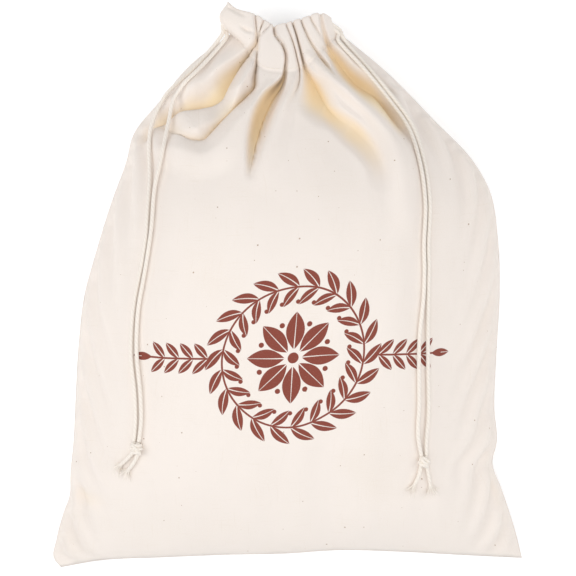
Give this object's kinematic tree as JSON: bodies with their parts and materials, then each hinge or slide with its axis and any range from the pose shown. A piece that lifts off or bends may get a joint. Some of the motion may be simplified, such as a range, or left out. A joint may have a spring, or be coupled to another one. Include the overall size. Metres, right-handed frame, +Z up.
{
  "type": "drawstring bread bag",
  "caption": "Puffed linen drawstring bag for bread, lying on its back, with its mouth gathered and cords knotted at their ends.",
  "frame": {"origin": "middle of the bounding box's bottom, on the surface that the bag's back lies on", "axes": "+Y from the bottom seam to the mouth, +Z up out of the front panel, +X to the right of the front as it is looked at from above"},
  "size_m": [0.3024, 0.3605, 0.0969],
  "materials": {
    "cloth": "matt plain weave of unbleached linen",
    "cord": "matt soft cotton cord"
  },
  "bodies": {
    "root": {"front_panel": "cloth", "back_panel": "cloth", "cord_left_a": "cord", "cord_left_b": "cord", "cord_right_a": "cord", "cord_right_b": "cord", "knot_left": "cord", "knot_right": "cord"}
  },
  "joints": []
}
